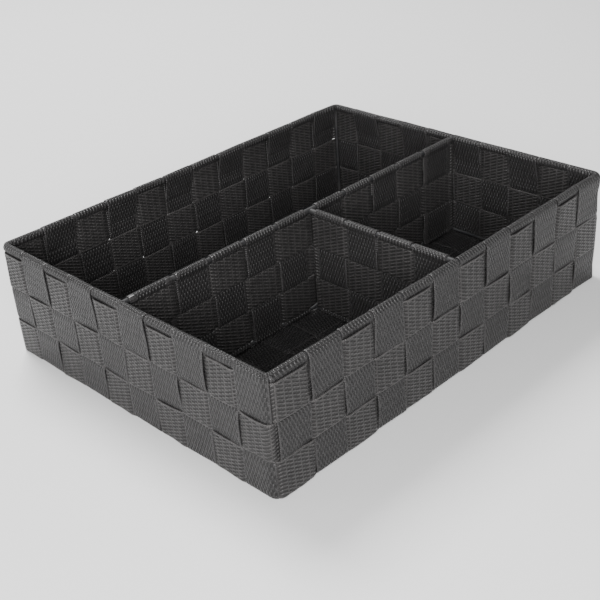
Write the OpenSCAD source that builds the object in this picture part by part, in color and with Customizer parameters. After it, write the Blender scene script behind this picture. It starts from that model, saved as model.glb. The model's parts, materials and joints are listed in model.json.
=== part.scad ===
// Three-compartment storage tray, woven from flat webbing straps over a wire frame.
// The tray stands on Z = 0, centred on the origin. X runs along the long walls.
// The front is -Y and the left end is -X.

/* [Webbing straps] */
// Width of one webbing strap
strap_width = 23.6; // [20:0.2:28]
// Thickness of one webbing strap
strap_thickness = 0.7; // [0.5:0.05:0.8]
// Width of the short-wall straps next to a corner, whose outer edge is turned under
corner_strap_width = 18.4; // [14:0.2:23]
// Number of straps that cross the base and climb the two long walls
crosswise_count = 12; // [8:2:14]
// Number of straps that run along the base and climb the two short walls
lengthwise_count = 10; // [6:2:12]
// Gap between neighbouring straps on the long walls
long_wall_gap = 2.3; // [1.4:0.1:4]
// Gap between neighbouring straps on the short walls
short_wall_gap = 1.2; // [1.2:0.1:3]
// Gap between the straps that circle the tray, one above the other
row_gap = 1.2; // [1.2:0.1:3]
// Length of strap tucked back down inside the top edge
rim_tail = 15; // [10:1:20]

/* [Wire frame] */
// Diameter of the wire in the top edge and along the tops of the dividers
rim_wire_d = 3.8; // [3:0.1:4.4]
// Diameter of the wire in the base and of the upright posts
base_wire_d = 2.6; // [2:0.1:3]
// Bend radius of the top wire's corners, at its middle
rim_bend = 2.2; // [2.2:0.1:2.6]
// Bend radius of the base wire's corners, at its middle
base_bend = 3; // [2:0.1:3.4]
// Bend radius of the circling straps at the corners, at their middle
hoop_bend = 4; // [4:0.1:4.5]
// Distance from a wall's outer face to its first upright strap
corner_clear = 5.8; // [5.8:0.1:8]
// Distance from a wall's outer face to the middle of a corner post
corner_post_inset = 4.2; // [4.2:0.05:4.3]

/* [Dividers] */
// Number of upright straps in each half of the long divider
half_upright_count = 5; // [3:1:5]
// Number of upright straps in the cross divider
cross_upright_count = 4; // [2:1:4]
// Half of the space between the long divider's two halves, where the cross divider meets it
junction_half_gap = 6.4; // [4:0.2:8]
// Space between the long divider's last upright strap and the straps wrapped round its end post
long_end_gap = 6.25; // [1:0.05:8]
// Space between the cross divider's last upright strap and the straps wrapped round its front post
cross_end_gap = 0.4; // [0.4:0.05:2]
// Space between the cross divider's first upright strap and the straps wrapped round its inner post
cross_start_gap = 0.4; // [0.4:0.05:2]
// Distance from a wall's outer face to the middle of a divider's end post
end_post_inset = 7.6; // [7.6:0.1:10]
// Distance from the long divider's middle to the cross divider's first post
junction_post_offset = 5; // [5:0.1:8]
// Length of strap tucked back between the faces of a divider
divider_tail = 12; // [8:1:18]

/* [Clearances] */
// Clearance between straps that cross or lie on each other
weave_clear = 0.25; // [0.2:0.01:0.3]
// Clearance between a strap and the wire that it wraps
wire_clear = 0.2; // [0.15:0.01:0.25]
// Clearance between the lowest circling strap and the straps of the base
foot_clear = 0.6; // [0.5:0.05:1]
// Clearance between the topmost circling strap and the straps in the top edge
rim_clear = 0.4; // [0.3:0.05:0.6]
// Bend radius on the inside of the fold where a strap turns from the base up the wall
fold_inner_bend = 0.45; // [0.4:0.05:0.6]
// Clearance between two wires where they are joined
joint_clear = 0.05; // [0.02:0.01:0.1]

/* [Hidden] */
row_count = 3;
round_faces = 48;
arc_step = 15;

rim_wire_r = rim_wire_d / 2;
base_wire_r = base_wire_d / 2;
half_strap = strap_thickness / 2;

// Middles of the strap layers, counted inwards from a wall's outer face or up from the ground.
layer_pitch = strap_thickness + weave_clear;
outer_layer = half_strap;
inner_layer = outer_layer + layer_pitch;
third_layer = inner_layer + layer_pitch;

// Radius at the middle of a strap wrapped round each wire.
rim_loop_r = rim_wire_r + wire_clear + half_strap;
base_loop_r = base_wire_r + wire_clear + half_strap;

// The circling straps stand on the fold of the base, and the rim wire clears the topmost one.
row_pitch = strap_width + row_gap;
lowest_row_z = strap_thickness + foot_clear;
top_row_z = lowest_row_z + row_count * strap_width + (row_count - 1) * row_gap;
rim_wire_inset = outer_layer + rim_loop_r;
rim_wire_z = top_row_z + rim_clear + half_strap + rim_loop_r;
base_wire_inset = inner_layer + half_strap + wire_clear + base_wire_r;
base_wire_z = strap_thickness + wire_clear + base_wire_r;
fold_bend = half_strap + fold_inner_bend;

// Overall size of the tray.
tray_height = rim_wire_z + rim_loop_r + half_strap;
tray_length = 2 * corner_clear + crosswise_count * strap_width + (crosswise_count - 1) * long_wall_gap;
tray_width = 2 * (corner_clear + corner_strap_width) + (lengthwise_count - 2) * strap_width
    + (lengthwise_count - 1) * short_wall_gap;
half_length = tray_length / 2;
half_width = tray_width / 2;

// The dividers' lower wires ride just above the woven base.
divider_wire_z = inner_layer + half_strap + weave_clear + half_strap + base_loop_r;
divider_layer = layer_pitch;
divider_top_z = rim_wire_z - rim_loop_r - half_strap - weave_clear;
divider_bottom_z = divider_wire_z + base_loop_r + half_strap + weave_clear;
divider_row_width = (divider_top_z - divider_bottom_z - (row_count - 1) * row_gap) / row_count;
end_post_x = half_length - end_post_inset;
end_post_y = half_width - end_post_inset;
wrapped_post_r = base_loop_r + half_strap;
long_first_upright = junction_half_gap;
long_last_upright = end_post_x - wrapped_post_r - long_end_gap - strap_width;
long_divider_pitch = (long_last_upright - long_first_upright) / (half_upright_count - 1);
cross_first_upright = junction_post_offset + wrapped_post_r + cross_start_gap;
cross_last_upright = end_post_y - wrapped_post_r - cross_end_gap - strap_width;
cross_divider_pitch = (cross_last_upright - cross_first_upright) / (cross_upright_count - 1);

function row_name(r) = ["top", "middle", "bottom"][r];
function numbered(name, k) = str(name, k < 9 ? "0" : "", k + 1);

// ---- Ribbons: a strap seen edge-on, as a line thickened to the strap's thickness ----

function unit(v) = v / norm(v);
function left_of(v) = [-v[1], v[0]];
function wrap_index(i, n) = (i + n) % n;

// Offset of one point of a line, mitred between the directions before and after it.
function mitre(before, after, d) =
    let (a = left_of(unit(before)), b = left_of(unit(after)))
    d * (a + b) / (1 + a * b);

function open_offset(path, d) =
    let (n = len(path))
    [for (i = [0 : n - 1])
        let (before = i == 0 ? path[1] - path[0] : path[i] - path[i - 1],
             after = i == n - 1 ? path[i] - path[i - 1] : path[i + 1] - path[i])
        path[i] + mitre(before, after, d)];

function closed_offset(path, d) =
    let (n = len(path))
    [for (i = [0 : n - 1])
        path[i] + mitre(path[i] - path[wrap_index(i - 1, n)], path[wrap_index(i + 1, n)] - path[i], d)];

function reversed(list) = [for (i = [len(list) - 1 : -1 : 0]) list[i]];

module ribbon(path) {
    polygon(concat(open_offset(path, half_strap), reversed(open_offset(path, -half_strap))));
}

module closed_ribbon(path) {
    difference() {
        polygon(closed_offset(path, -half_strap));
        polygon(closed_offset(path, half_strap));
    }
}

// Points of an arc, from one angle to another in even steps.
function arc(centre, r, from, to) =
    let (steps = ceil(abs(to - from) / arc_step))
    [for (k = [0 : steps])
        let (a = from + (to - from) * k / steps)
        centre + r * [cos(a), sin(a)]];

// ---- The walls: columns of upright straps, numbered round the tray from its back left corner ----

// Walls in order: left, front, right, back. Each runs from its own corner to the next.
corners = [[-half_length, half_width], [-half_length, -half_width],
           [half_length, -half_width], [half_length, half_width]];
wall_direction = [[0, -1], [1, 0], [0, 1], [-1, 0]];
wall_inward = [[1, 0], [0, 1], [-1, 0], [0, -1]];
wall_columns = [lengthwise_count, crosswise_count, lengthwise_count, crosswise_count];
first_column = [0, lengthwise_count, lengthwise_count + crosswise_count,
                2 * lengthwise_count + crosswise_count];

// A strap shows outside in the top row where its column number is odd.
function shows_outside(column, row) = (column + row) % 2 == 1;

// Spans [start, end] of the straps across one wall, measured from the tray's middle.
crosswise_pitch = strap_width + long_wall_gap;
lengthwise_pitch = strap_width + short_wall_gap;
function crosswise_span(k) =
    let (start = corner_clear - half_length + k * crosswise_pitch)
    [start, start + strap_width];
function lengthwise_span(k) =
    let (start = corner_clear - half_width + corner_strap_width + short_wall_gap
            + (k - 1) * lengthwise_pitch)
    k == 0 ? [corner_clear - half_width, corner_clear - half_width + corner_strap_width]
    : k == lengthwise_count - 1 ? [start, start + corner_strap_width]
    : [start, start + strap_width];

// Middles of the gaps between neighbouring spans.
function crosswise_gap_middle(k) = (crosswise_span(k)[1] + crosswise_span(k + 1)[0]) / 2;
function lengthwise_gap_middle(k) = (lengthwise_span(k)[1] + lengthwise_span(k + 1)[0]) / 2;

// Heights of the gaps between the circling straps, from the top down.
function row_bottom(r) = top_row_z - strap_width - r * row_pitch;
function row_gap_middle(r) = row_bottom(r) - row_gap / 2;

// ---- Base straps: up one wall, across the base and up the opposite wall ----

// An upright strap in section, as [inset from the wall's outer face, height], from its
// tucked end at the top to the fold at the base.
function upright_start(outside) =
    let (centre = [rim_wire_inset, rim_wire_z],
         tuck_z = rim_wire_z - rim_loop_r,
         tail_end = [third_layer, rim_wire_z - rim_tail],
         reach = tail_end - centre,
         tail_angle = atan2(reach[1], reach[0]) + acos(rim_loop_r / norm(reach)),
         join_angle = 180 + acos((rim_wire_inset - inner_layer) / rim_loop_r))
    outside
    ? concat([[inner_layer, rim_wire_z - rim_tail], [inner_layer, tuck_z]],
             arc(centre, rim_loop_r, -90, 180),
             [[outer_layer, row_gap_middle(0)], [inner_layer, row_gap_middle(0)],
              [inner_layer, row_gap_middle(1)], [outer_layer, row_gap_middle(1)]])
    : concat([tail_end], arc(centre, rim_loop_r, tail_angle, join_angle),
             [[inner_layer, row_gap_middle(0)], [outer_layer, row_gap_middle(0)],
              [outer_layer, row_gap_middle(1)], [inner_layer, row_gap_middle(1)]]);

function fold(outside) =
    let (inset = outside ? outer_layer : inner_layer)
    arc([inset + fold_bend, outer_layer + fold_bend], fold_bend, 180, 270);

function upright(outside) = concat(upright_start(outside), fold(outside));

// The base part of a strap: it rises to the upper layer or drops to the lower one at each gap
// of the straps that it crosses. "raised" says whether it lies above the first of them.
function base_run(gaps, raised) =
    [for (k = [0 : len(gaps) - 1])
        let (above = (k % 2 == 0) == raised)
        each [[gaps[k], above ? inner_layer : outer_layer],
              [gaps[k], above ? outer_layer : inner_layer]]];

// A whole base strap in section. "half" is half of the tray's size along the strap.
function base_strap_path(half, gaps, first_outside, last_outside, edge) =
    let (lift = half - edge + weave_clear + half_strap,
         rise = [[-lift, outer_layer], [-lift, inner_layer]],
         drop = [[lift, inner_layer], [lift, outer_layer]])
    concat([for (p = upright(first_outside)) [p[0] - half, p[1]]],
           first_outside ? rise : [],
           base_run(gaps, first_outside),
           last_outside ? drop : [],
           reversed([for (p = upright(last_outside)) [half - p[0], p[1]]]));

// Crosswise straps are counted from the left end, lengthwise straps from the back wall.
module crosswise_strap(k) {
    span = crosswise_span(k);
    gaps = [for (g = [0 : lengthwise_count - 2]) lengthwise_gap_middle(g)];
    path = base_strap_path(half_width, gaps, shows_outside(first_column[1] + k, 0),
                           shows_outside(first_column[3] + crosswise_count - 1 - k, 0), corner_clear);
    color([0.19, 0.19, 0.2])
    difference() {
        translate([span[0], 0, 0])
        rotate([90, 0, 90])
        linear_extrude(height = span[1] - span[0])
        ribbon(path);
        if (abs(k - (crosswise_count - 1) / 2) < 1)
            rotate([0, 0, -90])
            divider_wire_relief(half_width);
    }
}

module lengthwise_strap(k) {
    span = lengthwise_span(k);
    gaps = [for (g = [0 : crosswise_count - 2]) crosswise_gap_middle(g)];
    path = base_strap_path(half_length, gaps, shows_outside(first_column[0] + k, 0),
                           shows_outside(first_column[2] + lengthwise_count - 1 - k, 0), corner_clear);
    color([0.2, 0.2, 0.21])
    difference() {
        translate([0, -span[0], 0])
        rotate([90, 0, 0])
        linear_extrude(height = span[1] - span[0])
        ribbon(path);
        if (abs(k - (lengthwise_count - 1) / 2) < 1)
            for (turn = [0, 180])
                rotate([0, 0, turn])
                divider_wire_relief(half_length);
    }
}

// Room in the rim straps for a divider's top wire, which reaches through them to the rim wire.
module divider_wire_relief(half) {
    reach = half - rim_wire_inset - rim_wire_r;
    translate([0, 0, rim_wire_z])
    rotate([0, 90, 0])
    cylinder(h = reach + wire_clear, r = rim_wire_r + wire_clear, $fn = round_faces);
}

// ---- Hoop straps: the three that circle the tray ----

// Inset of a circling strap where it crosses one column.
function hoop_inset(column, row) =
    !shows_outside(column, row) ? outer_layer
    : row == 0 ? third_layer
    : inner_layer;

function wall_half(w) = w % 2 == 0 ? half_width : half_length;
function wall_point(w, s, inset) = corners[w] + s * wall_direction[w] + inset * wall_inward[w];

// Distance from the wall's first corner to the middle of the gap after column c.
function wall_gap_middle(w, c) =
    wall_half(w) + (w % 2 == 0 ? lengthwise_gap_middle(c) : crosswise_gap_middle(c));
function wall_gap(w) = w % 2 == 0 ? short_wall_gap : long_wall_gap;

// The strap slants across a gap only as far as the uprights on both sides leave room.
function slant(gap) = max(0, gap - strap_thickness - 2 * weave_clear) / 2;

function hoop_wall(w, row) =
    [for (c = [0 : wall_columns[w] - 2])
        let (s = wall_gap_middle(w, c), run = slant(wall_gap(w)))
        each [wall_point(w, s - run, hoop_inset(first_column[w] + c, row)),
              wall_point(w, s + run, hoop_inset(first_column[w] + c + 1, row))]];

// The bend from wall w into the next one.
function hoop_corner(w, row) =
    let (next = (w + 1) % 4,
         this_inset = hoop_inset(first_column[w] + wall_columns[w] - 1, row),
         next_inset = hoop_inset(first_column[next], row),
         centre = corners[next] + (this_inset + hoop_bend) * wall_inward[w]
            + (next_inset + hoop_bend) * wall_inward[next])
    [for (a = [0 : arc_step : 90])
        centre - hoop_bend * (cos(a) * wall_inward[w] + sin(a) * wall_inward[next])];

module hoop_strap(row) {
    path = [for (w = [0 : 3]) each concat(hoop_wall(w, row), hoop_corner(w, row))];
    color([0.24, 0.24, 0.25])
    translate([0, 0, row_bottom(row)])
    linear_extrude(height = strap_width)
    closed_ribbon(path);
}

// ---- Wire frame ----

module ring_wire(inset, z, r, bend) {
    x = half_length - inset - bend;
    y = half_width - inset - bend;
    color([0.06, 0.06, 0.06])
    translate([0, 0, z])
    union() {
        for (side = [-1, 1]) {
            translate([-x, side * (y + bend), 0])
            rotate([0, 90, 0])
            cylinder(h = 2 * x, r = r, $fn = round_faces);
            translate([side * (x + bend), y, 0])
            rotate([90, 0, 0])
            cylinder(h = 2 * y, r = r, $fn = round_faces);
        }
        for (quarter = [0 : 3])
            translate([quarter == 0 || quarter == 3 ? x : -x, quarter < 2 ? y : -y, 0])
            rotate([0, 0, 90 * quarter])
            rotate_extrude(angle = 90, $fn = round_faces)
            translate([bend, 0])
            circle(r = r, $fn = round_faces);
    }
}

module top_rim_wire() {
    ring_wire(rim_wire_inset, rim_wire_z, rim_wire_r, rim_bend);
}

module base_ring_wire() {
    ring_wire(base_wire_inset, base_wire_z, base_wire_r, base_bend);
}

module upright_wire(x, y, bottom) {
    color([0.06, 0.06, 0.06])
    translate([x, y, bottom])
    cylinder(h = rim_wire_z - rim_wire_r - joint_clear - bottom, r = base_wire_r, $fn = round_faces);
}

module corner_post(side_x, side_y) {
    upright_wire(side_x * (half_length - corner_post_inset), side_y * (half_width - corner_post_inset),
                 base_wire_z + base_wire_r + joint_clear);
}

module divider_post(x, y) {
    upright_wire(x, y, divider_wire_z + base_wire_r + joint_clear);
}

module long_divider_wire(z, r, ring_inset, ring_r) {
    reach = half_length - ring_inset - ring_r - joint_clear;
    color([0.06, 0.06, 0.06])
    translate([-reach, 0, z])
    rotate([0, 90, 0])
    cylinder(h = 2 * reach, r = r, $fn = round_faces);
}

module cross_divider_wire(z, r, ring_inset, ring_r) {
    start = r + joint_clear;
    reach = half_width - ring_inset - ring_r - joint_clear;
    color([0.06, 0.06, 0.06])
    translate([0, -start, z])
    rotate([90, 0, 0])
    cylinder(h = reach - start, r = r, $fn = round_faces);
}

// ---- Dividers: upright straps looped over both wires, and three straps woven through them ----

// A strap's end wrapped round a wire, in section. The strap comes in towards +Y at
// X = side * divider_layer, goes round the wire and stops below it at X = 0.
function wrap(wire_y, r, side) =
    let (join = acos(divider_layer / r))
    [for (p = arc([0, 0], r, -join, 270)) [side * p[0], wire_y + p[1]]];

// Left edges of the long divider's uprights, and the distance from the long divider of the
// cross divider's uprights.
function long_upright_start(k) =
    k < half_upright_count
    ? -long_first_upright - (half_upright_count - 1 - k) * long_divider_pitch - strap_width
    : long_first_upright + (k - half_upright_count) * long_divider_pitch;
function cross_upright_start(k) = cross_first_upright + k * cross_divider_pitch;

function divider_row_bottom(r) = divider_top_z - (r + 1) * divider_row_width - r * row_gap;

// An upright in section, as [distance from the divider's middle plane, height].
function divider_upright_path(side) =
    let (top = reversed(wrap(rim_wire_z, rim_loop_r, side)),
         base = [for (p = wrap(-divider_wire_z, base_loop_r, side)) [p[0], -p[1]]],
         gap_a = divider_row_bottom(0) - row_gap / 2,
         gap_b = divider_row_bottom(1) - row_gap / 2,
         near = side * divider_layer)
    concat([[0, rim_wire_z - divider_tail]], top,
           [[near, gap_a], [-near, gap_a], [-near, gap_b], [near, gap_b]],
           base, [[0, divider_wire_z + divider_tail]]);

// Uprights alternate: in the top row the first passes the far side of its divider, the next
// the near side.
function upright_side(k) = k % 2 == 0 ? 1 : -1;

module long_divider_upright(k) {
    color([0.18, 0.18, 0.19])
    translate([long_upright_start(k), 0, 0])
    rotate([90, 0, 90])
    linear_extrude(height = strap_width)
    ribbon(divider_upright_path(upright_side(k)));
}

module cross_divider_upright(k) {
    color([0.18, 0.18, 0.19])
    translate([0, -cross_upright_start(k), 0])
    rotate([90, 0, 0])
    linear_extrude(height = strap_width)
    ribbon(divider_upright_path(upright_side(k)));
}

// A woven strap in plan, as [distance along, distance from the middle plane]. It passes each
// upright on the side that the upright leaves free and is wrapped round a post at both ends.
function woven_path(from, to, starts, gap, row) =
    let (n = len(starts),
         side = [for (k = [0 : n - 1]) (row % 2 == 0 ? -1 : 1) * upright_side(k) * divider_layer],
         edge = gap / 2 - slant(gap),
         first = [for (p = wrap(0, base_loop_r, sign(side[0]))) [from - p[1], p[0]]],
         last = [for (p = wrap(0, base_loop_r, sign(side[n - 1]))) [to + p[1], p[0]]])
    concat(reversed(first),
           [for (k = [0 : n - 2]) each [[starts[k] + strap_width + edge, side[k]],
                                        [starts[k + 1] - edge, side[k + 1]]]],
           last);

module long_divider_strap(row) {
    starts = [for (k = [0 : 2 * half_upright_count - 1]) long_upright_start(k)];
    color([0.22, 0.22, 0.23])
    translate([0, 0, divider_row_bottom(row)])
    linear_extrude(height = divider_row_width)
    ribbon(woven_path(-end_post_x, end_post_x, starts, long_divider_pitch - strap_width, row));
}

module cross_divider_strap(row) {
    starts = [for (k = [0 : cross_upright_count - 1]) cross_upright_start(k)];
    color([0.22, 0.22, 0.23])
    translate([0, 0, divider_row_bottom(row)])
    rotate([0, 0, -90])
    linear_extrude(height = divider_row_width)
    ribbon(woven_path(junction_post_offset, end_post_y, starts, cross_divider_pitch - strap_width, row));
}

// ---- Nodes ----

top_rim_wire();
base_ring_wire();
corner_post(-1, -1);  // corner_post_front_left
corner_post(1, -1);  // corner_post_front_right
corner_post(1, 1);  // corner_post_back_right
corner_post(-1, 1);  // corner_post_back_left
long_divider_wire(rim_wire_z, rim_wire_r, rim_wire_inset, rim_wire_r);  // long_divider_top_wire
long_divider_wire(divider_wire_z, base_wire_r, base_wire_inset, base_wire_r);  // long_divider_base_wire
divider_post(-end_post_x, 0);  // long_divider_left_post
divider_post(end_post_x, 0);  // long_divider_right_post
cross_divider_wire(rim_wire_z, rim_wire_r, rim_wire_inset, rim_wire_r);  // cross_divider_top_wire
cross_divider_wire(divider_wire_z, base_wire_r, base_wire_inset, base_wire_r);  // cross_divider_base_wire
divider_post(0, -junction_post_offset);  // cross_divider_inner_post
divider_post(0, -end_post_y);  // cross_divider_front_post
for (k = [0 : crosswise_count - 1])
    crosswise_strap(k);
for (k = [0 : lengthwise_count - 1])
    lengthwise_strap(k);
for (r = [0 : row_count - 1]) {
    hoop_strap(r);
    long_divider_strap(r);
    cross_divider_strap(r);
}
for (k = [0 : 2 * half_upright_count - 1])
    long_divider_upright(k);
for (k = [0 : cross_upright_count - 1])
    cross_divider_upright(k);
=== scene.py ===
"""Three-compartment tray woven from webbing straps, dressed over its wire frame.

Lengths in the strap code are in millimetres, and become metres when a mesh is made. X runs along
the long walls, Y from the front wall to the back one, and Z up from the ground.
"""

import json
import logging
import math
from dataclasses import dataclass, field
from enum import Enum, IntEnum
from functools import cached_property, partial
from typing import Any, Callable, Sequence

import bpy
import bmesh
import numpy as np
from bpy.types import Material, Mesh, Node, NodeSocket, NodeTree, Object
from mathutils import Matrix, Vector

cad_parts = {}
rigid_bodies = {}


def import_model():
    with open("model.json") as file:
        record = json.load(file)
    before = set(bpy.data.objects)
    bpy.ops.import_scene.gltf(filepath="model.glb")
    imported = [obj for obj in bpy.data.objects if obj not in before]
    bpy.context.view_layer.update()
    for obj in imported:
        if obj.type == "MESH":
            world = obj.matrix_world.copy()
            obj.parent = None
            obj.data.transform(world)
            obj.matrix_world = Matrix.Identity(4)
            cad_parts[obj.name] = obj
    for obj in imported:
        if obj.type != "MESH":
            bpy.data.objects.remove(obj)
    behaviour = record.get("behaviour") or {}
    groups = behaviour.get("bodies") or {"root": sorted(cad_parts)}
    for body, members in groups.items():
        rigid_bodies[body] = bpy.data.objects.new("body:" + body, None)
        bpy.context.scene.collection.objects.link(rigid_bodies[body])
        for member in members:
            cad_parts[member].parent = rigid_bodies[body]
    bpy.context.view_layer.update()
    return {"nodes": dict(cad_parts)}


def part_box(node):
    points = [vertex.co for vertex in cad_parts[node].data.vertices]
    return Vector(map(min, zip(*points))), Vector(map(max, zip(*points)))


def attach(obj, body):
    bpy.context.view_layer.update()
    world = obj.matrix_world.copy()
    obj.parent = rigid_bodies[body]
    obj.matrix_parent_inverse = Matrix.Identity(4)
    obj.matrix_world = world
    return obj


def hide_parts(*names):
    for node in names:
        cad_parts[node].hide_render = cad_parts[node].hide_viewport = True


LOG = logging.getLogger("woven_tray")
Array = np.ndarray
Colour = tuple[float, float, float, float]
Span = tuple[float, float]
Point = tuple[float, float, float]
Bend = Callable[[Array], Array]

MM = 0.001
SAMPLE = 0.6  # spacing at which a strap's legs are traced
WRAP_GAP = 1.0  # room left for a smooth start between a wrap round a wire and the leg that follows
ROWS = ("top", "middle", "bottom")


# ---- small maths


def smooth(low: float, high: float, x: Array) -> Array:
    """Ease from 0 at low to 1 at high, for each place in x."""
    t = np.clip((x - low) / (high - low), 0.0, 1.0)
    return t * t * (3.0 - 2.0 * t)


def arc(centre: Sequence[float], radius: float, start: float, end: float) -> list[Span]:
    """Give points along an arc.

    Args:
        centre: Middle of the arc.
        radius: Radius of the arc.
        start: First angle, in degrees.
        end: Last angle, in degrees.

    Returns:
        The points in order, about 10 degrees apart.
    """
    degrees_apart = 10.0
    count = max(2, int(abs(end - start) / degrees_apart) + 1)
    angles = np.radians(np.linspace(start, end, count))
    return [(centre[0] + radius * math.cos(a), centre[1] + radius * math.sin(a)) for a in angles]


def steps(path: Array) -> Array:
    """Measure the distance from each point to the next."""
    return np.linalg.norm(np.diff(path, axis=0), axis=1)


def even_path(points: Sequence[Sequence[float]], step: float) -> Array:
    """Space a path's points evenly, then soften its corners once.

    Args:
        points: The path's corners, in any number of dimensions.
        step: Spacing of the new points.

    Returns:
        The new points, one row each.
    """
    same_place = 1e-6
    path = np.asarray(points, float)
    path = path[np.r_[True, steps(path) > same_place]]
    places = np.r_[0.0, np.cumsum(steps(path))]
    count = max(2, int(round(places[-1] / step)) + 1)
    even = np.linspace(0.0, places[-1], count)
    path = np.stack([np.interp(even, places, path[:, k]) for k in range(path.shape[1])], axis=1)
    path[1:-1] = 0.25 * path[:-2] + 0.5 * path[1:-1] + 0.25 * path[2:]
    return path


def gap_middles(spans: Sequence[Span]) -> list[float]:
    """Find the middles of the gaps between neighbouring straps' spans, from the lowest up."""
    edges = sorted(spans)
    return [(below[1] + above[0]) / 2.0 for below, above in zip(edges, edges[1:])]


def weave_sides(heights: Array, rows: Sequence[Span], ramp: float) -> Array:
    """Say which side of a wall an upright is on as it passes the rows.

    Args:
        heights: Heights to read.
        rows: Lowest and highest place of each row.
        ramp: Half the height in which it changes sides.

    Returns:
        +1 in the top row, and the other sign after each gap between rows.
    """
    sides = np.ones_like(heights)
    for gap in gap_middles(rows):
        sides = sides * (1.0 - 2.0 * smooth(-ramp, ramp, gap - heights))
    return sides


@dataclass(frozen=True)
class Wander:
    """A slow, seeded sway that keeps hand-woven straps from lying perfectly straight."""

    seed: int
    size: float
    length: float = 90.0  # of the longest wave

    WAVES = (1.0, 1.7, 2.9)
    FADE = 0.7
    PEAK = 1.7

    def at(self, place: Array, number: int) -> Array:
        """Give the sway along a strap.

        Args:
            place: Places along the strap.
            number: Which strap it is.

        Returns:
            The sway, one value for each place.
        """
        rng = np.random.default_rng(self.seed + number)
        total = np.zeros_like(place)
        for turn in self.WAVES:
            phase = turn * place / self.length + rng.random()
            total += math.pow(turn, -self.FADE) * np.sin(2.0 * math.pi * phase)
        return self.size * total / self.PEAK


# ---- the weave's plan


class Run(Enum):
    """Which way a strap or a divider runs. The value is its axis."""

    LENGTHWISE = 0
    CROSSWISE = 1

    @property
    def across(self) -> "Run":
        """The other way."""
        return Run(1 - self.value)


class Wall(IntEnum):
    """The tray's walls, in order round it."""

    LEFT = 0
    FRONT = 1
    RIGHT = 2
    BACK = 3


@dataclass
class Plan:
    """Where the straps run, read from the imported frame."""

    corner_r: float = 6.0
    thickness: float = 0.9
    outer: float = 0.12  # depth of the outermost layer's middle
    layer: float = 1.45  # from there to the next layer of a wall
    tuck: float = 1.05  # from there to the tucked tails, and between the base's layers
    ramp: float = 3.0  # half the length in which a strap changes sides
    wrap_slack: float = 0.15  # between a wire and the strap round it
    corner_reach: float = 5.2  # of the outermost lengthwise straps, into the corners
    rise: float = 0.7  # from there to where the circling straps change sides
    half: Span = field(init=False)  # half the tray's length and half its width
    straps: dict[Run, list[Span]] = field(init=False)
    rows: list[Span] = field(init=False)
    rim_wire_r: float = field(init=False)
    rim: Span = field(init=False)  # depth and height of the rim wire's middle

    COUNTS = {Run.LENGTHWISE: 10, Run.CROSSWISE: 12}

    def __post_init__(self) -> None:
        """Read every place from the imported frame's boxes."""
        _, high = self.box("hoop_strap_top")
        self.half = (high[0], high[1])
        self.straps = {run: [self.span(self.strap_name(run, k), run.across.value) for k in range(count)]
                       for run, count in self.COUNTS.items()}
        self.rows = [self.span(f"hoop_strap_{row}", 2) for row in ROWS]
        low, high = self.box("top_rim_wire")
        self.rim_wire_r = (high[2] - low[2]) / 2.0
        self.rim = (self.half[0] - high[0] + self.rim_wire_r, (low[2] + high[2]) / 2.0)

    @staticmethod
    def strap_name(run: Run, number: int) -> str:
        """Name the node of a base strap, numbered from 0."""
        return f"{run.name.lower()}_strap_{number + 1:02d}"

    @staticmethod
    def box(node: str) -> tuple[Array, Array]:
        """Read a node's lowest and highest corners."""
        low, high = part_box(node)
        return np.array(low) / MM, np.array(high) / MM

    @classmethod
    def span(cls, node: str, axis: int) -> Span:
        """Read a node's lowest and highest place along one axis."""
        low, high = cls.box(node)
        return float(low[axis]), float(high[axis])

    @property
    def depths(self) -> Point:
        """Middles of the strap layers in a wall, inwards from its outer face."""
        return self.outer, self.outer + self.layer, self.outer + self.layer + self.tuck

    @property
    def levels(self) -> Span:
        """Middles of the strap layers in the base, up from the ground."""
        return self.thickness / 2.0, self.thickness / 2.0 + self.tuck


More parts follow.
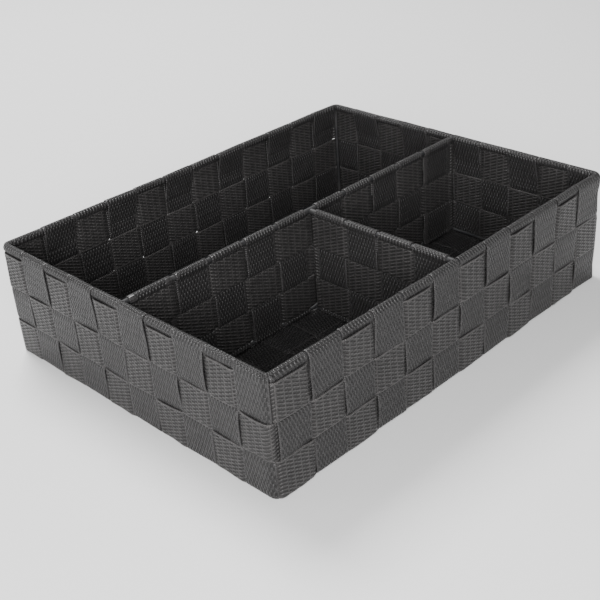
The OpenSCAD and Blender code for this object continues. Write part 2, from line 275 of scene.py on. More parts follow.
@dataclass
class Outline:
    """The tray's outer face seen from above: straight walls and round corners.

    A place on it is a distance round the tray. It starts where the back left corner's bend ends
    and runs along the left, front, right and back walls. On an even wall the uprights are
    lengthwise straps, on an odd one crosswise straps.
    """

    plan: Plan
    corner_points: Array = field(init=False)  # where the walls' faces would meet, one before each wall
    straights: Array = field(init=False)  # lengths of the walls' straight parts
    starts: Array = field(init=False)  # places where the walls start
    bend: float = field(init=False)  # length of a corner's bend
    total: float = field(init=False)

    ALONG = np.array([[0.0, -1.0], [1.0, 0.0], [0.0, 1.0], [-1.0, 0.0]])
    INWARD = np.roll(ALONG, -1, axis=0)  # the next wall runs inwards from this one

    def __post_init__(self) -> None:
        """Work out where each wall starts."""
        (a, b), r = self.plan.half, self.plan.corner_r
        self.corner_points = -(self.ALONG + self.INWARD) * (a, b)
        self.straights = np.array([2 * b, 2 * a, 2 * b, 2 * a]) - 2 * r
        self.bend = r * math.pi / 2.0
        self.starts = np.r_[0.0, np.cumsum(self.straights[:3] + self.bend)]
        self.total = self.straights.sum() + 4 * self.bend

    def wall(self, place: Array) -> Array:
        """Say which wall, with the corner after it, each place within one round is on."""
        return np.clip(np.searchsorted(self.starts, place, side="right") - 1, 0, 3)

    @cached_property
    def gaps(self) -> Array:
        """Find the gaps between upright straps.

        Returns:
            The places of their middles, in order.
        """
        plan, gaps = self.plan, []
        for wall, start in enumerate(self.starts):
            run = Run(wall % 2)
            half = plan.half[run.across.value]
            gaps += [start + middle + half - plan.corner_r for middle in gap_middles(plan.straps[run])]
            reach = plan.corner_reach + plan.rise
            turn = reach if run is Run.LENGTHWISE else self.bend - reach
            gaps.append(start + self.straights[wall] + turn)
        return np.array(gaps)

    def at(self, place: Array) -> tuple[Array, Array]:
        """Give points on the outline and the directions into the tray.

        Args:
            place: Distances round the tray.

        Returns:
            The points and the inward directions, one row each.
        """
        place = place % self.total
        wall, r = self.wall(place), self.plan.corner_r
        run = place - self.starts[wall]
        straight = np.minimum(run, self.straights[wall])
        angle = np.maximum(run - self.straights[wall], 0.0) / r
        along, inward = self.ALONG[wall], self.INWARD[wall]
        base = self.corner_points[wall] + along * (r + straight)[:, None]
        turned = inward * np.cos(angle)[:, None] - along * np.sin(angle)[:, None]
        return base + inward * r - turned * r, turned

    def swing(self, place: Array, ramp: float) -> Array:
        """Say which way the weave leans.

        Args:
            place: Distances round the tray.
            ramp: Half the length in which a strap changes sides.

        Returns:
            +1 where the top circling strap is outside and -1 where it is inside, with ramps between.
        """
        place = place % self.total
        gaps = np.r_[self.gaps[-1] - self.total, self.gaps, self.gaps[0] + self.total]
        nearest = np.argmin(np.abs(place[:, None] - gaps[None, :]), axis=1)
        before = np.where(nearest % 2 == 1, 1.0, -1.0)
        return before * (1.0 - 2.0 * smooth(-ramp, ramp, place - gaps[nearest]))


# ---- nodes


@dataclass
class Nodes:
    """Adds nodes to one tree."""

    tree: NodeTree

    def node(self, kind: str, inputs: dict[Any, Any] | None = None, **settings: Any) -> Node:
        """Add a node.

        Args:
            kind: The node's type.
            inputs: What goes into its inputs.
            settings: Values of its own settings, set first.

        Returns:
            The node.
        """
        node = self.tree.nodes.new(kind)
        for key, value in settings.items():
            setattr(node, key, value)
        self.feed(node, inputs or {})
        return node

    def out(self, kind: str, output: Any, inputs: dict[Any, Any] | None = None,
            **settings: Any) -> NodeSocket:
        """Add a node and take one of its outputs, by name or place."""
        return self.node(kind, inputs, **settings).outputs[output]

    def feed(self, node: Node, inputs: dict[Any, Any]) -> None:
        """Give a node's inputs their values or links.

        Args:
            node: The node.
            inputs: Numbers, vectors, colours, Nums or other nodes' outputs, by name or place.
        """
        for key, value in inputs.items():
            if isinstance(value, Num):
                value = value.socket
            if isinstance(value, NodeSocket):
                self.tree.links.new(value, node.inputs[key])
            else:
                node.inputs[key].default_value = value


def maths(operation: str, swap: bool = False) -> Callable[["Num", Any], "Num"]:
    """Make an operator of Num.

    Args:
        operation: The Math node's operation.
        swap: Whether the other number comes first.

    Returns:
        The method.
    """
    def method(self: "Num", other: Any) -> "Num":
        """Work the operation out with another number."""
        first, second = (other, self) if swap else (self, other)
        return self.paint.number("ShaderNodeMath", 0, {0: first, 1: second}, operation=operation)

    return method


@dataclass
class Num:
    """A number in a shader that can be used in sums."""

    paint: "Paint"
    socket: NodeSocket

    __add__ = __radd__ = maths("ADD")
    __mul__ = __rmul__ = maths("MULTIPLY")
    __sub__ = maths("SUBTRACT")
    __rsub__ = maths("SUBTRACT", swap=True)
    __truediv__ = maths("DIVIDE")

    def apply(self, operation: str, second: Any = 0.0) -> "Num":
        """Use a named Math operation, with a second number where it takes one."""
        return maths(operation)(self, second)

    def ease(self, low: float, high: float) -> "Num":
        """Ease from 0 at low to 1 at high."""
        inputs = {"Value": self, "From Min": low, "From Max": high}
        return self.paint.number("ShaderNodeMapRange", "Result", inputs, interpolation_type="SMOOTHSTEP")


class Paint(Nodes):
    """Builds one material's nodes."""

    FIRST, SECOND, MIXED = 6, 7, 2  # places of the Mix node's colours

    def __init__(self, name: str) -> None:
        """Start a material with a Principled shader and its output.

        Args:
            name: Name of the material.
        """
        self.material = bpy.data.materials.new(name)
        self.material.use_nodes = True
        super().__init__(self.material.node_tree)
        self.tree.nodes.clear()
        self.shader = self.node("ShaderNodeBsdfPrincipled")
        self.node("ShaderNodeOutputMaterial", {"Surface": self.shader.outputs["BSDF"]})

    def number(self, kind: str, output: Any, inputs: dict[Any, Any], **settings: Any) -> Num:
        """Add a node and take one of its outputs as a number."""
        return Num(self, self.out(kind, output, inputs, **settings))

    def noise(self, scale: float, detail: float) -> Num:
        """Add smooth noise in the piece's own coordinates."""
        place = self.out("ShaderNodeTexCoord", "Object")
        return self.number("ShaderNodeTexNoise", 0, {"Vector": place, "Scale": scale, "Detail": detail})

    def bump(self, height: Num, distance: float, strength: float = 1.0) -> NodeSocket:
        """Turn a height of 0 to 1 into a normal. The distance is in metres."""
        inputs = {"Strength": strength, "Distance": distance, "Height": height}
        return self.out("ShaderNodeBump", "Normal", inputs)

    def mix(self, factor: Num, first: Colour, second: Colour) -> NodeSocket:
        """Mix two colours, 0 for the first and 1 for the second."""
        inputs = {"Factor": factor, self.FIRST: first, self.SECOND: second}
        return self.out("ShaderNodeMix", self.MIXED, inputs, data_type="RGBA")

    def shade(self, inputs: dict[str, Any]) -> Material:
        """Feed the shader, and give the material."""
        self.feed(self.shader, inputs)
        return self.material


# ---- the loom: Geometry Nodes


class Sweep:
    """The Geometry Nodes tree that sweeps a cross-section along a guide."""

    INPUTS = {"Guide": "NodeSocketGeometry", "Cross-section": "NodeSocketObject",
              "Finish": "NodeSocketMaterial"}

    def __init__(self) -> None:
        """Build the tree, and keep the names of its inputs' sockets."""
        self.tree = bpy.data.node_groups.new("webbing_loom", "GeometryNodeTree")
        new_socket = self.tree.interface.new_socket
        self.sockets = {name: new_socket(name, in_out="INPUT", socket_type=kind).identifier
                        for name, kind in self.INPUTS.items()}
        new_socket("Strap", in_out="OUTPUT", socket_type="NodeSocketGeometry")
        nodes = Nodes(self.tree)
        out, source = nodes.out, nodes.node("NodeGroupInput").outputs
        guide = out("GeometryNodeMeshToCurve", "Curve", {"Mesh": source["Guide"]})
        facing = out("GeometryNodeInputNamedAttribute", "Attribute", {"Name": "facing"},
                     data_type="FLOAT_VECTOR")
        guide = out("GeometryNodeSetCurveNormal", "Curve", {"Curve": guide, "Normal": facing}, mode="FREE")
        shape = out("GeometryNodeObjectInfo", "Geometry", {"Object": source["Cross-section"]})
        section = out("GeometryNodeMeshToCurve", "Curve", {"Mesh": shape})
        strap = out("GeometryNodeCurveToMesh", "Mesh",
                    {"Curve": guide, "Profile Curve": section, "Fill Caps": True})
        strap = out("GeometryNodeRealizeInstances", "Geometry", {"Geometry": strap})
        strap = out("GeometryNodeSetMaterial", "Geometry", {"Geometry": strap, "Material": source["Finish"]})
        nodes.node("NodeGroupOutput", {"Strap": strap})


@dataclass
class Loom:
    """Makes straps of one finish."""

    sweep: Sweep
    finish: Material
    thickness: float
    made: int = 0

    ACROSS = 8  # faces across each side of a strap
    CORNER_ACROSS = 24  # the same where a strap's edge is bent round a corner
    SHIFT = 613.7  # moves the pattern on from one strap to the next
    ROUNDING = 0.42  # radius of a strap's edges as a share of its thickness
    EDGE = ((0.8, 0.62), (1.0, 0.0), (0.8, -0.62))  # points of it, in that radius and half thickness

    @staticmethod
    def _line(name: str, points: Array, closed: bool, data: dict[str, Array]) -> Object:
        """Make a mesh of edges.

        Args:
            name: Name of the object.
            points: Points in millimetres, one row each.
            closed: Whether the last point joins the first.
            data: What the points carry, by name: a number or a direction for each.

        Returns:
            The new object.
        """
        count = len(points)
        edges = [(k, k + 1) for k in range(count - 1)] + ([(count - 1, 0)] if closed else [])
        mesh = bpy.data.meshes.new(name)
        mesh.from_pydata([tuple(point) for point in points * MM], edges, [])
        for key, values in data.items():
            kind, part = ("FLOAT", "value") if values.ndim == 1 else ("FLOAT_VECTOR", "vector")
            layer = mesh.attributes.new(key, kind, "POINT")
            layer.data.foreach_set(part, values.astype(np.float32).ravel())
        thing = bpy.data.objects.new(name, mesh)
        bpy.context.scene.collection.objects.link(thing)
        return thing

    def section(self, width: float, across: int) -> Object:
        """Make a strap's cross-section, flat with rounded edges.

        Args:
            width: Width of the strap.
            across: How many faces it has across each side.

        Returns:
            The object that holds the cross-section.
        """
        round_r, half = self.ROUNDING * self.thickness, self.thickness / 2.0
        flat = width / 2.0 - round_r
        face = [(flat * s, half, 0.0) for s in np.linspace(1.0, -1.0, across + 1)]
        edge = [(-flat - round_r * c, half * s, 0.0) for c, s in self.EDGE]
        points = np.array(face + edge)
        points = np.concatenate([points, -points])
        return self._line("cross_section", points, True, {"across": points[:, 0]})

    def weave(self, node: str, path: Array, facing: Array | Sequence[float], width: float,
              bend: Bend | None = None, hand: float | Array = 1.0) -> Object:
        """Make one strap and let it stand for its solid.

        Args:
            node: Name of the solid's node.
            path: The strap's middle line, one row for each point.
            facing: The strap's width directions, one row each or one for all.
            width: Width of the strap.
            bend: Moves the finished points round a corner.
            hand: 1 where the pattern's floats lean one way, -1 where they lean the other.

        Returns:
            The strap as a plain mesh object.
        """
        name = "woven_" + node
        facing = np.broadcast_to(np.asarray(facing, float), path.shape)
        pattern = np.r_[0.0, np.cumsum(steps(path) * np.broadcast_to(hand, len(path))[1:])]
        self.made += 1
        strap = self._line(name, path, False, {"along": pattern + self.SHIFT * self.made, "facing": facing})
        section = self.section(width, self.CORNER_ACROSS if bend else self.ACROSS)
        modifier = strap.modifiers.new("loom", "NODES")
        modifier.node_group = self.sweep.tree
        modifier[self.sweep.sockets["Cross-section"]] = section
        modifier[self.sweep.sockets["Finish"]] = self.finish
        graph = bpy.context.evaluated_depsgraph_get()
        graph.update()
        mesh = bpy.data.meshes.new_from_object(strap.evaluated_get(graph))
        mesh.name = name
        strap.modifiers.remove(modifier)
        spent = [section, section.data, strap.data]
        strap.data = mesh
        bpy.data.batch_remove(spent)
        self._complete(mesh, bend)
        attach(strap, "root")
        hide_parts(node)
        return strap

    @staticmethod
    def _complete(mesh: Mesh, bend: Bend | None) -> None:
        """Bend a strap's points, write its pattern map and turn its faces outwards.

        Args:
            mesh: The strap's mesh.
            bend: Moves the points, or None.
        """
        count = len(mesh.vertices)
        if bend is not None:
            points = np.zeros(count * 3, np.float32)
            mesh.vertices.foreach_get("co", points)
            moved = bend(points.reshape(-1, 3).astype(float) / MM) * MM
            mesh.vertices.foreach_set("co", moved.astype(np.float32).ravel())
        pattern = np.zeros((2, count), np.float32)
        for name, values in zip(("along", "across"), pattern):
            mesh.attributes[name].data.foreach_get("value", values)
        corner = np.zeros(len(mesh.loops), np.int32)
        mesh.loops.foreach_get("vertex_index", corner)
        layer = mesh.uv_layers.new(name="webbing")
        layer.data.foreach_set("uv", pattern[:, corner].T.ravel())
        for name in ("along", "across", "facing"):
            mesh.attributes.remove(mesh.attributes[name])
        work = bmesh.new()
        work.from_mesh(mesh)
        bmesh.ops.recalc_face_normals(work, faces=work.faces)
        work.to_mesh(mesh)
        work.free()
        mesh.shade_smooth()
        mesh.update()


# ---- wall and base straps


@dataclass
class BaseStraps:
    """The straps that cross the base, climb two opposite walls and wrap the rim wire.

    Every second upright round the tray shows on the outer face in the top row. With an even number
    of straps each way, an odd strap does so at its low end and an even one at its high end.
    """

    plan: Plan
    loom: Loom
    tail: float = 15.2  # from the rim wire's middle to a tucked tail's end
    tail_drop: float = 0.9  # from the wrap to an outer tail's straight part
    tail_bend: float = 0.5  # how far it moves inwards there
    wrap_start: float = -80.0  # degrees
    fold_r: float = 1.3
    foot_ramp: float = 1.4  # as ramp, beside a wall
    foot_clear: float = 0.3  # between a wall's inner layer and the flat of the base
    foot_gap: float = 0.6  # between a wall and the first strap crossed
    widen: float = 1.15  # beyond the solid's width
    reach_clear: float = 0.2
    flare: float = 2.6  # of the crosswise corner straps, under the rim
    flare_side: Span = (-16.0, 0.5)  # where it eases in, from the bend's start
    flare_height: Span = (68.0, 75.0)  # and where going up
    turn_depth: Span = (1.6, 5.4)  # where a strap's edge in the base stops following the corner
    base_top: float = 10.0  # above this it always follows
    step: float = 1.2

    SWAYS = {Run.LENGTHWISE: Wander(0, 0.42), Run.CROSSWISE: Wander(100, 0.42)}
    CURLS = {Run.LENGTHWISE: Wander(50, 0.045, 80.0), Run.CROSSWISE: Wander(250, 0.045, 80.0)}

    def upright(self, outside: bool) -> list[Span]:
        """Trace an upright in section, from its tucked tail down to the base.

        Args:
            outside: Whether it shows on the outer face in the top row.

        Returns:
            Points as (depth from the outer face, height).
        """
        plan = self.plan
        first, second, third = plan.depths
        depth, height = plan.rim
        radius = plan.rim_wire_r + plan.wrap_slack + plan.thickness / 2.0
        low = height - self.tail
        if outside:
            under = height - radius
            path = [(second, low), (second, under - self.tail_drop),
                    (second + self.tail_bend, under), (depth, under)]
            path += arc((depth, height), radius, self.wrap_start, 180)
        else:
            tip = np.array([third, low]) - np.array([depth, height])
            turn = math.acos(radius / float(np.hypot(*tip)))
            meet = math.degrees(math.atan2(tip[1], tip[0]) + turn)
            leave = 180.0 + math.degrees(math.acos((depth - second) / radius))
            path = [(third, low)] + arc((depth, height), radius, meet, leave)
        middle, swing = (first + second) / 2.0, (second - first) / 2.0
        heights = np.arange(path[-1][1] - WRAP_GAP, plan.thickness / 2.0 + self.fold_r, -SAMPLE)
        sides = weave_sides(heights, plan.rows, plan.ramp) * (1.0 if outside else -1.0)
        path += list(zip(middle - swing * sides, heights))
        fold = ((first if outside else second) + self.fold_r, plan.levels[0] + self.fold_r)
        return path + arc(fold, self.fold_r, 180, 270)

    def base_run(self, low: float, high: float, gaps: Sequence[float], raised: bool) -> list[Span]:
        """Trace the part of a strap that lies in the base.

        Args:
            low: Where it starts.
            high: Where it ends.
            gaps: Middles of the gaps that it passes, in order, with those at the walls.
            raised: Whether it lies above the first strap it crosses.

        Returns:
            Points as (place along the strap, height).
        """
        first, second = self.plan.levels
        places = np.arange(low, high, SAMPLE)
        levels = [0.0] + [float((k % 2 == 0) == raised) for k in range(len(gaps) - 1)] + [0.0]
        height = np.zeros_like(places)
        for k, gap in enumerate(gaps):
            ramp = self.foot_ramp if k in (0, len(gaps) - 1) else self.plan.ramp
            height += (levels[k + 1] - levels[k]) * smooth(-ramp, ramp, places - gap)
        return list(zip(places, first + (second - first) * height))

    def build(self, run: Run, number: int) -> Object:
        """Make one base strap.

        Args:
            run: Which way the strap runs.
            number: Its place in the row of straps, from 0.

        Returns:
            The strap.
        """
        plan = self.plan
        spans, crossing = plan.straps[run], sorted(plan.straps[run.across])
        half = plan.half[run.value]
        odd = number % 2 == 1
        near = [(d - half, z) for d, z in self.upright(odd)]
        far = [(half - d, z) for d, z in self.upright(not odd)][::-1]
        inset = plan.depths[1] + self.foot_clear
        gaps = [crossing[0][0] - self.foot_gap] + gap_middles(crossing) + [crossing[-1][1] + self.foot_gap]
        floor = self.base_run(near[-1][0] + inset, far[0][0] - inset, gaps, odd)
        flat = even_path(near + floor + far, self.step)
        start, end = spans[number]
        width, centre = end - start + self.widen, (start + end) / 2.0
        places = np.arange(len(flat)) * self.step
        sway, curl = self.SWAYS[run].at(places, number), self.CURLS[run].at(places, number)
        at_corner = number in (0, len(spans) - 1)
        if at_corner and run is Run.LENGTHWISE:
            extra = plan.corner_reach - self.reach_clear
            width += extra
            centre += (1.0 if number == 0 else -1.0) * extra / 2.0
            sway, curl = 0.0 * sway, 0.0 * curl
        path, facing = np.zeros((len(flat), 3)), np.zeros((len(flat), 3))
        path[:, run.value], path[:, run.across.value], path[:, 2] = flat[:, 0], centre + sway, flat[:, 1]
        facing[:, run.value], facing[:, run.across.value] = curl, 1.0
        bend = partial(self._round_corner, run, math.copysign(1.0, centre)) if at_corner else None
        return self.loom.weave(plan.strap_name(run, number), path, facing, width, bend)

    def _round_corner(self, run: Run, side: float, points: Array) -> Array:
        """Take a strap's outer edge round the tray's corner.

        Args:
            run: Which way the strap runs.
            side: Which end of the wall it is at, -1 or +1.
            points: The strap's points.

        Returns:
            The points, with those past the start of the bend carried onto its arc.
        """
        r = self.plan.corner_r
        along, across = run.value, run.across.value
        half_along, half_across = self.plan.half[along], self.plan.half[across]
        moved, height = points.copy(), points[:, 2]
        depth = half_along - np.abs(points[:, along])
        past = side * points[:, across] - (half_across - r)
        if run is Run.CROSSWISE:
            past = past + self.flare * smooth(*self.flare_side, past) * smooth(*self.flare_height, height)
        follow = (1.0 - smooth(*self.turn_depth, depth)) + (height > self.base_top)
        past = np.where(past > 0.0, past * np.clip(follow, 0.0, 1.0), past)
        angle, radial, bent = np.maximum(past, 0.0) / r, r - depth, past > 0.0
        moved[:, across] = side * (half_across - r + np.where(bent, radial * np.sin(angle), past))
        turned = np.sign(points[:, along]) * (half_along - r + radial * np.cos(angle))
        moved[:, along] = np.where(bent, turned, points[:, along])
        return moved

    def build_all(self) -> list[Object]:
        """Make every base strap."""
        return [self.build(run, k) for run in (Run.CROSSWISE, Run.LENGTHWISE)
                for k in range(len(self.plan.straps[run]))]


@dataclass
class HoopStraps:
    """The three straps that circle the tray, in and out of the uprights."""

    plan: Plan
    outline: Outline
    loom: Loom
    widen: float = 1.0
    step: float = 1.2
    overlap: float = 12.0
    overlap_ramp: float = 3.0  # in which the inner end leaves the outer one
    seam_shift: float = 13.0  # from the back wall's middle
    top_ramp: float = 4.4
    sway: Wander = Wander(40, 0.3, 140.0)
    curl: Wander = Wander(60, 0.04, 70.0)
    hand: float = -1.0  # of the pattern on the left and back walls

    def build(self, row: int) -> Object:
        """Make one circling strap.

        Args:
            row: Which one, from the top down.

        Returns:
            The strap.
        """
        plan, outline = self.plan, self.outline
        first, second, third = plan.depths
        inner, ramp = (third, self.top_ramp) if row == 0 else (second, plan.ramp)
        turn = 1.0 if row % 2 == 0 else -1.0
        seam = outline.starts[Wall.BACK] + plan.half[0] - plan.corner_r + turn * self.seam_shift
        length = outline.total + self.overlap
        count = int(length / self.step)
        places = seam + np.linspace(0.0, length, count)
        depth = (first + inner) / 2.0 - (inner - first) / 2.0 * (outline.swing(places, ramp) * turn)
        lift_start = -self.overlap - self.overlap_ramp
        depth += plan.thickness * smooth(lift_start, -self.overlap, places - places[-1])
        points, inward = outline.at(places)
        low, high = plan.rows[row]
        height = (low + high) / 2.0 + self.sway.at(places, row)
        path = np.column_stack([points + inward * depth[:, None], height])
        facing = np.column_stack([inward * self.curl.at(places, row)[:, None], np.ones(count)])
        walls = outline.wall(places % outline.total)
        hand = np.where((walls == Wall.LEFT) | (walls == Wall.BACK), self.hand, -self.hand)
        return self.loom.weave(f"hoop_strap_{ROWS[row]}", path, facing, high - low + self.widen, hand=hand)

    def build_all(self) -> list[Object]:
        """Make the three circling straps."""
        return [self.build(row) for row in range(len(ROWS))]


# ---- dividers


@dataclass
class Divider:
    """One woven divider: uprights looped over two wires, and straps wound round two posts."""

    plan: Plan
    upright_loom: Loom
    strap_loom: Loom
    name: str
    run: Run
    posts: tuple[str, str]  # first and last, as in their nodes' names
    uprights: int
    upright_seed: int
    strap_seed: int
    upright_sway: float = 0.25
    strap_sway: float = 0.15
    hand: float = 1.0
    end_reach: float = 0.0  # extra width of the end uprights, towards the walls
    apart: float = 1.0  # layers off the middle plane in the outer rows
    close: float = 0.55  # the same in the middle row
    spread_ramp: float = 2.5  # half the height between the two
    tail: float = 12.0  # from a wire's middle to an upright's end
    upright_widen: float = 1.6
    strap_widen: float = 0.7
    step: float = 1.1

    ROW_SEEDS = 7  # seeds between one row and the next

    def _upright_name(self, number: int) -> str:
        """Name the node of an upright, numbered from 0."""
        return f"{self.name}_upright_{number + 1:02d}"

    def _points(self, along: Array, off: Array, height: Array) -> Array:
        """Turn places along the divider, distances off its middle plane and heights into points."""
        flat = (along, off) if self.run is Run.LENGTHWISE else (off, along)
        return np.column_stack([*flat, height])

    def _wire(self, label: str) -> Span:
        """Read the height and the radius of the "top" or the "base" wire."""
        low, high = self.plan.span(f"{self.name}_{label}_wire", 2)
        return (low + high) / 2.0, (high - low) / 2.0

    def upright_path(self, side: float) -> Array:
        """Trace an upright in section.

        Args:
            side: Which face it passes in the top row, -1 or +1.

        Returns:
            Points as (distance off the middle plane, height).
        """
        (top, top_r), (base, base_r) = self._wire("top"), self._wire("base")
        cover = self.plan.thickness / 2.0 + self.plan.wrap_slack
        top_r, base_r = top_r + cover, base_r + cover
        join_top = math.degrees(math.acos(self.apart / top_r))
        join_base = math.degrees(math.acos(self.apart / base_r))
        over = [(side * x, top + z) for x, z in arc((0, 0), top_r, 270, -join_top)]
        under = [(side * x, base - z) for x, z in arc((0, 0), base_r, -join_base, 270)]
        heights = np.arange(over[-1][1] - WRAP_GAP, under[0][1] + WRAP_GAP, -SAMPLE)
        rows = [self.plan.span(f"{self.name}_strap_{row}", 2) for row in ROWS]
        (low, high), ramp = rows[1], self.spread_ramp
        outer = np.maximum(smooth(-ramp, ramp, heights - high), smooth(-ramp, ramp, low - heights))
        off = self.close + (self.apart - self.close) * outer
        sides = side * weave_sides(heights, rows, self.plan.ramp)
        leg = list(zip(sides * off, heights))
        return even_path([(0.0, top - self.tail)] + over + leg + under + [(0.0, base + self.tail)], self.step)

    def build_upright(self, number: int) -> Object:
        """Make one upright.

        Args:
            number: Its place along the divider, from 0.

        Returns:
            The upright.
        """
        name = self._upright_name(number)
        low, high = self.plan.span(name, self.run.value)
        section = self.upright_path(1.0 if number % 2 == 0 else -1.0)
        places = np.arange(len(section)) * self.step
        sway = Wander(self.upright_seed, self.upright_sway).at(places, number)
        extra = self.end_reach if number in (0, self.uprights - 1) else 0.0
        centre = (low + high) / 2.0
        centre += math.copysign(extra / 2.0, centre)
        path = self._points(centre + sway, section[:, 0], section[:, 1])
        facing = np.eye(3)[self.run.value]
        return self.upright_loom.weave(name, path, facing, high - low + self.upright_widen + extra)

    def _strap_path(self, row: int) -> Array:
        """Trace a woven strap, seen from above.

        Args:
            row: Which one, from the top down.

        Returns:
            Points as (place along the divider, distance off its middle plane).
        """
        plan, axis = self.plan, self.run.value
        spans = [plan.span(self._upright_name(k), axis) for k in range(self.uprights)]
        sign = 1.0 if spans[-1][0] > spans[0][0] else -1.0
        (a, b), (c, d) = (plan.span(f"{self.name}_{post}_post", axis) for post in self.posts)
        start, end = (a + b) / 2.0, (c + d) / 2.0
        radius = (b - a) / 2.0 + plan.thickness / 2.0 + plan.wrap_slack
        middle_row = row == 1
        off = self.close if middle_row else self.apart
        leans = [1.0 if (k % 2 == 0) == middle_row else -1.0 for k in range(self.uprights)]
        edges = [tuple(sorted((sign * low, sign * high))) for low, high in spans]
        halves = [max(plan.ramp, (after[0] - before[1]) / 2.0) for before, after in zip(edges, edges[1:])]
        join = math.degrees(math.acos(min(1.0, off / radius)))
        first = [(sign * start - y, leans[0] * x) for x, y in arc((0, 0), radius, 270, -join)]
        last = [(sign * end + y, leans[-1] * x) for x, y in arc((0, 0), radius, -join, 270)]
        places = np.arange(first[-1][0] + WRAP_GAP, last[0][0] - WRAP_GAP, SAMPLE)
        lean = np.full_like(places, leans[0])
        for k, gap in enumerate(gap_middles(edges)):
            lean += (leans[k + 1] - leans[k]) * smooth(-halves[k], halves[k], places - gap)
        path = even_path(first + list(zip(places, off * lean)) + last, self.step)
        path[:, 0] *= sign
        return path

    def build_strap(self, row: int) -> Object:
        """Make one of the straps woven through the uprights.

        Args:
            row: Which one, from the top down.

        Returns:
            The strap.
        """
        name = f"{self.name}_strap_{ROWS[row]}"
        flat = self._strap_path(row)
        low, high = self.plan.span(name, 2)
        sway = Wander(self.strap_seed, self.strap_sway).at(flat[:, 0], self.ROW_SEEDS * row)
        path = self._points(flat[:, 0], flat[:, 1], (low + high) / 2.0 + sway)
        return self.strap_loom.weave(name, path, (0.0, 0.0, 1.0), high - low + self.strap_widen,
                                     hand=self.hand)

    def build_all(self) -> list[Object]:
        """Make the divider's uprights, then its straps."""
        uprights = [self.build_upright(k) for k in range(self.uprights)]
        return uprights + [self.build_strap(row) for row in range(len(ROWS))]


# ---- finishes


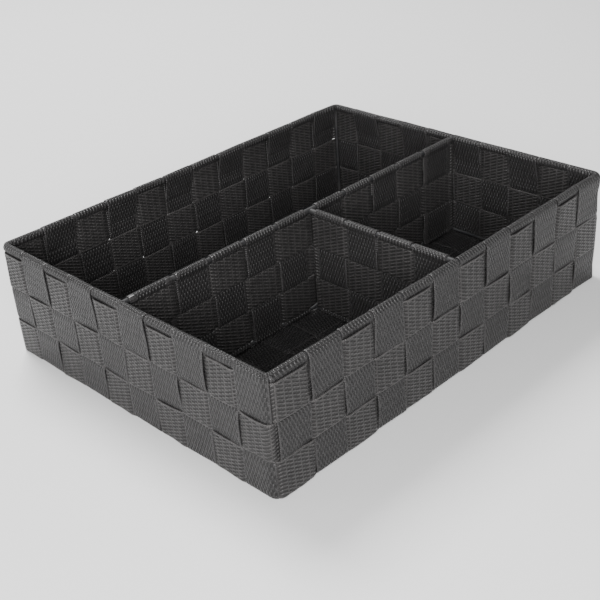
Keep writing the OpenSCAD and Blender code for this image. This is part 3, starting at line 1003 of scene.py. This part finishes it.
@dataclass(frozen=True)
class Webbing:
    """Dark grey woven webbing with a plain selvedge.

    Its face is long and short floats of the warp, set like bricks, with a line of weft between
    them. Lengths are in the pattern map's millimetres.
    """

    name: str
    yarn: Colour = (0.0285, 0.027, 0.0272, 1.0)
    # The hollow colour is painted shade, given to the low parts of the pattern between floats.
    hollow_painted_shade: Colour = (0.005, 0.0047, 0.0048, 1.0)
    float_pitch: float = 2.4  # across the strap, from float to float
    float_length: float = 5.65  # the same along the strap
    long_share: float = 0.66  # of that length, on top
    short_share: float = 0.54
    short_height: float = 0.82
    slimness: float = 1.35
    slant: float = 0.0  # over a float's length, in pitches
    pick: float = 0.24  # width of the line of weft, in float lengths
    pick_height: float = 0.45
    chance_height: float = 0.12  # how much a float's height varies
    thread: float = 0.48  # width of a thread
    thread_height: float = 0.07
    half_width: float = 12.1  # of the strap, for the selvedge
    selvedge: float = 1.2
    selvedge_ease: float = 0.6
    binding: float = 1.5  # length of a stitch in the selvedge
    binding_height: float = 0.78
    binding_swing: float = 0.1
    lit: Span = (0.12, 0.95)  # heights at which the painted shade is darkest and the painted light is lightest
    shade: float = 0.24  # lightness of the darkest, the painted shade deep in the hollows
    tone: float = 0.42  # lightness of a float, to which chance and wear add; the chance part is random tone and also painted glints
    tone_and_glint_chance: float = 0.5
    tone_wear: float = 0.4
    wear: Span = (38.0, 3.0)  # scale and detail of its noise
    relief: float = 0.0011  # height of the pattern, in metres
    roughness: float = 0.27
    hollow_roughness: float = 0.25
    specular: float = 0.28
    sheen: float = 0.02
    sheen_roughness: float = 0.5

    def _floats(self, beat: Num, lane: Num, share: float) -> Num:
        """Shape one set of warp floats, each a rounded grain lying along the strap.

        Args:
            beat: Position along the strap in float lengths, a float's middle at each whole number.
            lane: Position across the strap in float pitches, a float's middle at each half.
            share: How much of its length a float spends on top.

        Returns:
            Height between 0 and 1.
        """
        off_beat = (beat + 0.5).apply("FRACT") - 0.5
        off_middle = (off_beat * (2.0 / share)).apply("ABSOLUTE").apply("MINIMUM", 1.0)
        off_lane = ((lane + off_beat * self.slant).apply("FRACT") - 0.5) * (2.0 * self.slimness)
        crown = (1.0 - off_lane * off_lane).apply("MAXIMUM", 0.0)
        return crown * (1.0 - off_middle * off_middle * off_middle)

    def make(self) -> Material:
        """Build the material.

        Returns:
            The material.
        """
        paint = Paint(self.name)
        pattern = paint.out("ShaderNodeUVMap", "UV", uv_map="webbing")
        along, across = (paint.number("ShaderNodeSeparateXYZ", axis, {"Vector": pattern}) for axis in "XY")
        beat, lane = along / self.float_length, across / self.float_pitch
        long_ends = self._floats(beat, lane + 0.5, self.long_share)
        short_ends = self._floats(beat + 0.5, lane, self.short_share) * self.short_height
        off_pick = ((beat + 0.25).apply("FRACT") - 0.5) * (2.0 / self.pick)
        pick = (1.0 - off_pick * off_pick).apply("MAXIMUM", 0.0) * self.pick_height
        raised = long_ends.apply("MAXIMUM", short_ends).apply("MAXIMUM", pick)
        cell = paint.out("ShaderNodeCombineXYZ", "Vector",
                         {"X": (beat * 2.0).apply("FLOOR"), "Y": (lane * 2.0).apply("FLOOR")})
        chance = paint.number("ShaderNodeTexWhiteNoise", "Value", {"Vector": cell}, noise_dimensions="2D")
        threads = (lane * (2.0 * math.pi * self.float_pitch / self.thread)).apply("SINE") * 0.5 + 0.5
        ground = raised * (1.0 - self.chance_height + chance * self.chance_height)
        ground = ground + threads * raised * self.thread_height
        start = self.half_width - self.selvedge
        edge = across.apply("ABSOLUTE").ease(start, start + self.selvedge_ease)
        stitches = (along * (2.0 * math.pi / self.binding)).apply("SINE")
        height = ground * (1.0 - edge) + (stitches * self.binding_swing + self.binding_height) * edge
        wear = paint.noise(*self.wear)
        # Painted shade and light: the colour darkens towards the hollow colour where the pattern is low, and
        # lightens on the floats' crowns.
        painted_relief_shade = height.ease(*self.lit) * (1.0 - self.shade) + self.shade
        # Painted glints: the chance term varies each float's lightness at random, widened so that some floats
        # stand out like glints on the yarn.
        tone = painted_relief_shade * (self.tone + chance * self.tone_and_glint_chance + wear * self.tone_wear)
        return paint.shade({"Base Color": paint.mix(tone.apply("MINIMUM", 1.0), self.hollow_painted_shade, self.yarn),
                            "Roughness": self.roughness + (1.0 - height) * self.hollow_roughness,
                            "Normal": paint.bump(height, self.relief),
                            "Specular IOR Level": self.specular,
                            "Sheen Weight": self.sheen,
                            "Sheen Roughness": self.sheen_roughness})


@dataclass(frozen=True)
class BlackWire:
    """Steel wire with a black powder coat."""

    colour: Colour = (0.012, 0.012, 0.013, 1.0)
    dusty: Colour = (0.03, 0.029, 0.029, 1.0)
    patches: Span = (60.0, 3.0)  # scale and detail of their noise
    patch_range: Span = (0.4, 0.75)
    grain: Span = (2600.0, 2.0)  # the same
    grain_height: float = 0.00006  # metres
    grain_strength: float = 0.5
    roughness: float = 0.5
    patch_roughness: float = 0.2
    specular: float = 0.3

    def make(self) -> Material:
        """Build the material.

        Returns:
            The material.
        """
        paint = Paint("powder_coated_wire")
        patches, grain = paint.noise(*self.patches), paint.noise(*self.grain)
        return paint.shade({"Base Color": paint.mix(patches.ease(*self.patch_range), self.colour, self.dusty),
                            "Roughness": self.roughness + patches * self.patch_roughness,
                            "Normal": paint.bump(grain, self.grain_height, self.grain_strength),
                            "Specular IOR Level": self.specular})


@dataclass(frozen=True)
class PaleFloor:
    """A plain pale studio floor."""

    colour: Colour = (0.68, 0.68, 0.68, 1.0)
    roughness: float = 0.9
    specular: float = 0.1

    def make(self) -> Material:
        """Build the material."""
        return Paint("pale_floor").shade({"Base Color": self.colour, "Roughness": self.roughness,
                                          "Specular IOR Level": self.specular})


# ---- studio


@dataclass(frozen=True)
class Lamp:
    """A soft oblong light, in metres and watts."""

    name: str
    place: Point
    width: float
    height: float
    power: float

    AIM = Vector((0.0, 0.0, 0.04))

    def add(self) -> None:
        """Put the light in the scene, aimed at the tray."""
        data = bpy.data.lights.new(self.name, "AREA")
        data.shape, data.energy = "RECTANGLE", self.power
        data.size, data.size_y = self.width, self.height
        lamp = bpy.data.objects.new(self.name, data)
        lamp.location = self.place
        lamp.rotation_euler = (self.AIM - Vector(self.place)).to_track_quat("-Z", "Y").to_euler()
        bpy.context.scene.collection.objects.link(lamp)


@dataclass
class Studio:
    """Floor, lights, sky and camera, in metres."""

    eye: Point = (-0.45205, -0.45956, 0.37775)
    right: Point = (0.696543, -0.714556, -0.065094)
    down: Point = (-0.394994, -0.306131, -0.866177)
    ahead: Point = (0.599005, 0.629042, -0.495479)
    focal: float = 1069.16  # in the unit of frame_width
    frame_width: float = 600.0
    sensor: float = 36.0  # millimetres
    near: float = 0.01
    sky: float = 0.4
    floor_reach: float = 6.0
    lamps: tuple[Lamp, ...] = (Lamp("left_light", (-0.9, 0.75, 0.3), 0.5, 0.4, 2.5),
                               Lamp("key_light", (-0.88, -0.77, 0.62), 0.8, 0.7, 35.0),
                               Lamp("back_light", (0.3, 1.1, 1.6), 0.8, 0.8, 68.0))

    def build(self) -> None:
        """Add everything that isn't the tray."""
        self._floor()
        self._camera()
        world = bpy.data.worlds.new("studio")
        world.use_nodes = True
        tree = world.node_tree
        Nodes(tree).feed(tree.nodes["Background"], {"Color": (1.0, 1.0, 1.0, 1.0), "Strength": self.sky})
        bpy.context.scene.world = world
        for lamp in self.lamps:
            lamp.add()

    def _floor(self) -> None:
        """Add the floor."""
        mesh = bpy.data.meshes.new("studio_floor")
        r = self.floor_reach
        mesh.from_pydata([(-r, -r, 0), (r, -r, 0), (r, r, 0), (-r, r, 0)], [], [(0, 1, 2, 3)])
        floor = bpy.data.objects.new("studio_floor", mesh)
        bpy.context.scene.collection.objects.link(floor)
        mesh.materials.append(PaleFloor().make())

    def _camera(self) -> None:
        """Add the camera."""
        data = bpy.data.cameras.new("camera")
        data.sensor_width = self.sensor
        data.lens = self.focal / self.frame_width * self.sensor
        data.clip_start = self.near
        camera = bpy.data.objects.new("camera", data)
        turn = Matrix((self.right, [-v for v in self.down], [-v for v in self.ahead])).transposed()
        camera.matrix_world = Matrix.Translation(self.eye) @ turn.to_4x4()
        bpy.context.scene.collection.objects.link(camera)
        bpy.context.scene.camera = camera


def main() -> None:
    """Build the tray and its studio."""
    logging.basicConfig(level=logging.INFO, format="%(name)s: %(message)s")
    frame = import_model()
    Studio().build()
    plan = Plan()
    sweep = Sweep()
    # Painted sheen: the circling and divider straps take a lighter copy of the webbing than the uprights, to
    # stand in for light glancing off their lengthwise fibres.
    uprights = Loom(sweep, Webbing("webbing_upright").make(), plan.thickness)
    round_yarn_painted_sheen = (0.044, 0.0414, 0.041, 1.0)
    round_finish_painted_sheen = Webbing("webbing_round", round_yarn_painted_sheen, slant=0.8, pick_height=0.74)
    rounds = Loom(sweep, round_finish_painted_sheen.make(), plan.thickness)
    parts = (BaseStraps(plan, uprights), HoopStraps(plan, Outline(plan), rounds),
             Divider(plan, uprights, rounds, "long_divider", Run.LENGTHWISE, ("left", "right"),
                     uprights=10, upright_seed=300, strap_seed=360, end_reach=6.4),
             Divider(plan, uprights, rounds, "cross_divider", Run.CROSSWISE, ("inner", "front"),
                     uprights=4, upright_seed=320, strap_seed=361, hand=-1.0))
    for part in parts:
        for strap in part.build_all():
            LOG.info("%s: %d faces", strap.name, len(strap.data.polygons))
    wire = BlackWire().make()
    for name, node in frame["nodes"].items():
        if "wire" in name or "post" in name:
            for slot in node.material_slots:
                slot.material = wire
            LOG.info("%s: powder coated", name)


if __name__ == "__main__":
    main()
